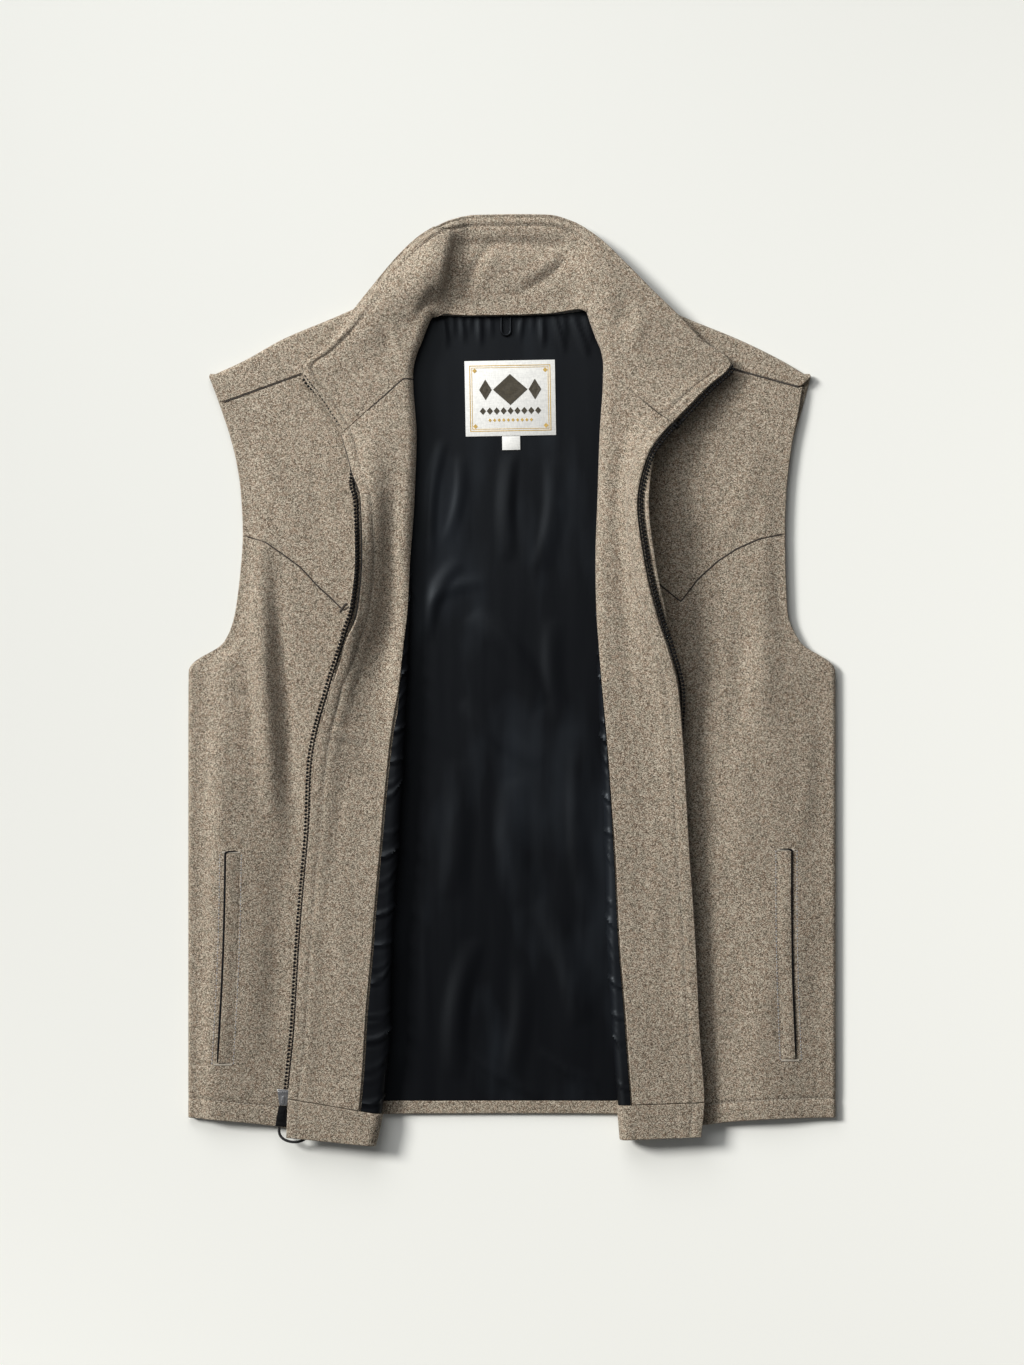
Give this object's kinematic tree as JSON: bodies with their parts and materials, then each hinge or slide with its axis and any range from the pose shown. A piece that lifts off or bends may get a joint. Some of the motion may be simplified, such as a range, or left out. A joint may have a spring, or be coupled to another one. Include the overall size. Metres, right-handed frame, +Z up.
{
  "type": "western vest",
  "caption": "Wool western vest laid open on its back, fronts folded out to show facing, zip and satin lining, with pointed yokes and slim welt pockets",
  "frame": {"origin": "centre of the bounding box's underside, where the back lies on the table", "axes": "+Z up from the table, +Y toward the collar, +X toward the viewer's right when seen from above with the collar at the top"},
  "size_m": [0.5628, 0.8076, 0.0433],
  "materials": {
    "wool": "matte",
    "satin": "satin",
    "tape": "matte",
    "plastic": "satin",
    "silver": "satin",
    "label": "matte"
  },
  "bodies": {
    "root": {"back_panel": "wool", "hem_band_back": "wool", "front_left": "wool", "front_right": "wool", "yoke_left": "wool", "yoke_right": "wool", "facing_left": "wool", "facing_right": "wool", "hem_band_left": "wool", "hem_band_right": "wool", "collar_outer": "wool", "collar_inner": "wool", "pocket_welt_left": "wool", "pocket_welt_right": "wool", "back_lining": "satin", "front_lining_left": "satin", "front_lining_right": "satin", "hanger_loop": "satin", "zip_tape_left": "tape", "zip_tape_right": "tape", "zip_chain_left": "plastic", "zip_chain_right": "plastic", "zip_box": "plastic", "zip_pull": "tape", "zip_slider": "silver", "zip_pin": "silver", "neck_label": "label", "size_tab": "label"}
  },
  "joints": []
}
